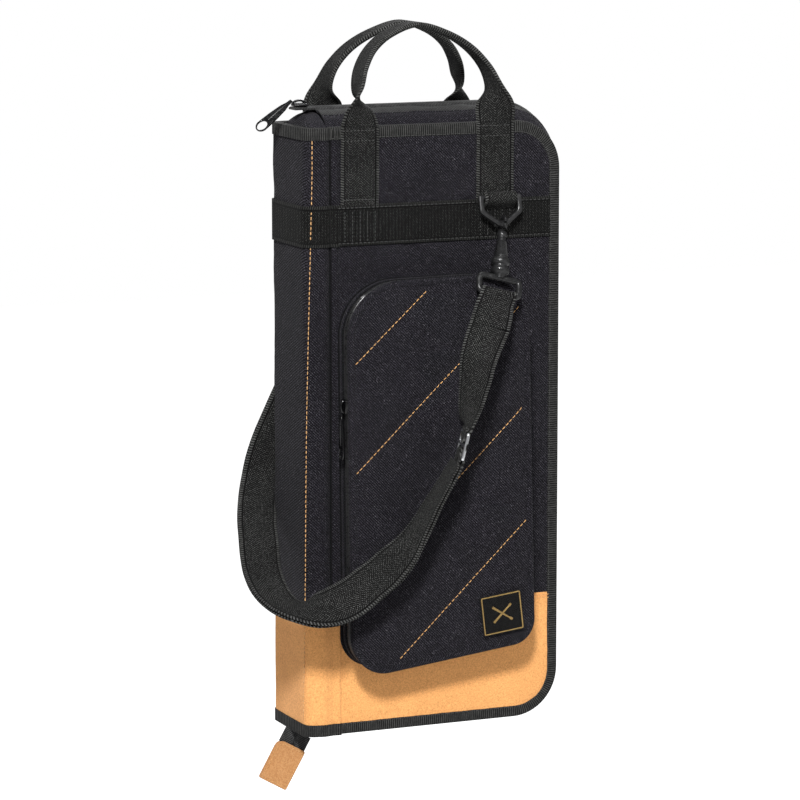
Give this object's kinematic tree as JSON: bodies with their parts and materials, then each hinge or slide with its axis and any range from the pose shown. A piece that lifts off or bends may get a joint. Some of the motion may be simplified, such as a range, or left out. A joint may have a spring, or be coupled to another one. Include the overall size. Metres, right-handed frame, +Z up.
{
  "type": "drum stick bag",
  "caption": "Padded book-style stick bag with a zip round three sides, a gusseted zip pocket on the front, two webbing handles and a clip-on shoulder strap.",
  "frame": {"origin": "the point between the two handle grips that the hanging bag is held by, above the middle of its body", "axes": "+Z up, +X from the spine along the front cover, +Y from the front cover to the rear one"},
  "size_m": [0.3206, 0.1985, 0.7165],
  "materials": {
    "canvas": "dark twill",
    "suede": "tan suede",
    "foam": "closed-cell foam",
    "lining": "smooth lining",
    "webbing": "woven webbing",
    "zip": "zip tape",
    "plastic": "moulded, satin",
    "gloss": "glossy",
    "steel": "satin",
    "label": "woven patch"
  },
  "bodies": {
    "rear_cover": {"rear_fabric": "canvas", "rear_suede": "suede", "rear_board": "foam", "rear_lining": "lining", "rear_binding": "webbing", "rear_gusset": "canvas", "rear_zip_tape": "zip", "rear_band": "webbing", "rear_handle_leg_spine_side": "webbing", "rear_handle_leg_free_side": "webbing", "rear_ring_tab": "webbing", "rear_stick_sleeve": "lining", "strap_rear": "webbing"},
    "spine": {"spine_fabric": "canvas", "spine_suede": "suede", "spine_board": "foam", "spine_band": "webbing", "spine_binding_top": "webbing", "spine_binding_bottom": "webbing", "spine_gusset_top": "canvas", "spine_gusset_bottom": "canvas", "spine_zip_tail": "zip", "strap_side": "webbing"},
    "front_cover": {"front_fabric": "canvas", "front_suede": "suede", "front_board": "foam", "front_lining": "lining", "front_binding": "webbing", "front_gusset": "canvas", "front_zip_tape": "zip", "front_band": "webbing", "front_handle_leg_spine_side": "webbing", "front_handle_leg_free_side": "webbing", "front_ring_tab": "webbing", "front_stick_sleeve": "lining", "pocket_gusset": "canvas", "strap_front_single": "webbing", "strap_front_double": "webbing"},
    "pocket_flap": {"pocket_rim": "canvas", "pocket_panel": "canvas", "pocket_label": "label"},
    "pocket_slider": {"pocket_slider": "gloss"},
    "pocket_pull": {"pocket_pull": "gloss"},
    "main_slider": {"main_slider": "gloss"},
    "main_pull": {"main_pull": "gloss"},
    "front_handle": {"front_handle": "webbing"},
    "rear_handle": {"rear_handle": "webbing"},
    "front_ring_set": {"front_ring": "plastic", "front_eye": "plastic", "strap_end_front": "webbing"},
    "front_hook": {"front_hook": "plastic"},
    "front_gate": {"front_hook_gate": "plastic"},
    "rear_ring_set": {"rear_ring": "plastic", "rear_eye": "plastic", "strap_end_rear": "webbing"},
    "rear_hook": {"rear_hook": "plastic"},
    "rear_gate": {"rear_hook_gate": "plastic"},
    "strap_adjuster": {"strap_adjuster": "steel"},
    "zip_end": {"zip_end_tape": "zip", "zip_end_cap": "suede"}
  },
  "joints": [
    {"name": "rear_fold", "type": "hinge", "parent": "rear_cover", "child": "spine", "pos_m": [-0.1045, 0.0443, -0.373], "axis": [0, 0, -1], "range_deg": [0, 90], "deforming": ["strap_rear", "strap_side", "strap_front_double"]},
    {"name": "front_fold", "type": "hinge", "parent": "spine", "child": "front_cover", "pos_m": [-0.1045, -0.0443, -0.373], "axis": [0, 0, -1], "range_deg": [0, 90], "deforming": ["strap_side", "strap_front_double", "strap_rear"]},
    {"name": "pocket_flap_fold", "type": "hinge", "parent": "front_cover", "child": "pocket_flap", "pos_m": [-0.094, -0.0606, -0.594], "axis": [0.9928, 0, 0.1199], "range_deg": [0, 100], "deforming": ["strap_front_single", "strap_front_double", "strap_end_front", "strap_side"]},
    {"name": "pocket_slider_travel", "type": "slide", "parent": "front_cover", "child": "pocket_slider", "axis": [-0.0111, 0, 0.9999], "range_m": [-0.21, 0.055]},
    {"name": "pocket_pull_swing", "type": "hinge", "parent": "pocket_slider", "child": "pocket_pull", "pos_m": [-0.1022, -0.0606, -0.3514], "axis": [0, -1, 0], "range_deg": [-120, 0]},
    {"name": "main_slider_travel", "type": "slide", "parent": "spine", "child": "main_slider", "axis": [-1, 0, 0], "range_m": [-0.13, 0]},
    {"name": "main_pull_lead", "type": "hinge", "parent": "main_slider", "child": "main_pull", "pos_m": [-0.1254, 0, -0.06774], "axis": [0, 1, 0], "range_deg": [0, 180]},
    {"name": "front_handle_fold", "type": "hinge", "parent": "front_cover", "child": "front_handle", "pos_m": [-0.0085, -0.0453, -0.09], "axis": [1, 0, 0], "range_deg": [0, 120]},
    {"name": "rear_handle_fold", "type": "hinge", "parent": "rear_cover", "child": "rear_handle", "pos_m": [-0.0085, 0.0453, -0.09], "axis": [-1, 0, 0], "range_deg": [0, 120]},
    {"name": "front_ring_swing", "type": "hinge", "parent": "front_cover", "child": "front_ring_set", "pos_m": [0.0617, -0.0499, -0.1595], "axis": [-1, 0, 0], "range_deg": [0, 15], "deforming": ["strap_end_front", "strap_front_single"]},
    {"name": "front_hook_swivel", "type": "hinge", "parent": "front_ring_set", "child": "front_hook", "pos_m": [0.0617, -0.05686, -0.18476], "axis": [-0.2803, -0.4805, -0.831], "range_deg": [-20, 20]},
    {"name": "front_gate_spring", "type": "hinge", "parent": "front_hook", "child": "front_gate", "pos_m": [0.05985, -0.06609, -0.18674], "axis": [-0.9599, 0.1403, 0.2427], "range_deg": [0, 12], "stiffness_Nm_per_rad": 0.02, "springref_deg": -11.46},
    {"name": "rear_ring_swing", "type": "hinge", "parent": "rear_cover", "child": "rear_ring_set", "pos_m": [-0.0765, 0.0499, -0.1595], "axis": [1, 0, 0], "range_deg": [0, 15], "deforming": ["strap_end_rear", "strap_rear"]},
    {"name": "rear_hook_swivel", "type": "hinge", "parent": "rear_ring_set", "child": "rear_hook", "pos_m": [-0.0765, 0.05686, -0.18476], "axis": [-0.0605, 0.0302, -0.9977], "range_deg": [-20, 20]},
    {"name": "rear_gate_spring", "type": "hinge", "parent": "rear_hook", "child": "rear_gate", "pos_m": [-0.0769, 0.06405, -0.19113], "axis": [0.9982, 0.0018, -0.0604], "range_deg": [0, 12], "stiffness_Nm_per_rad": 0.02, "springref_deg": -11.46},
    {"name": "strap_adjuster_travel", "type": "slide", "parent": "front_cover", "child": "strap_adjuster", "axis": [0.2403, -0.0434, 0.9697], "range_m": [-0.015, 0.015], "deforming": ["strap_front_single", "strap_front_double"]},
    {"name": "zip_end_swing", "type": "hinge", "parent": "spine", "child": "zip_end", "pos_m": [-0.1225, -0.004, -0.6595], "axis": [0.866, 0, -0.5], "range_deg": [-60, 20]}
  ],
  "couplings": [
    {"joint": "main_pull_lead", "follows": "main_slider_travel", "rad_per_m": -24}
  ]
}
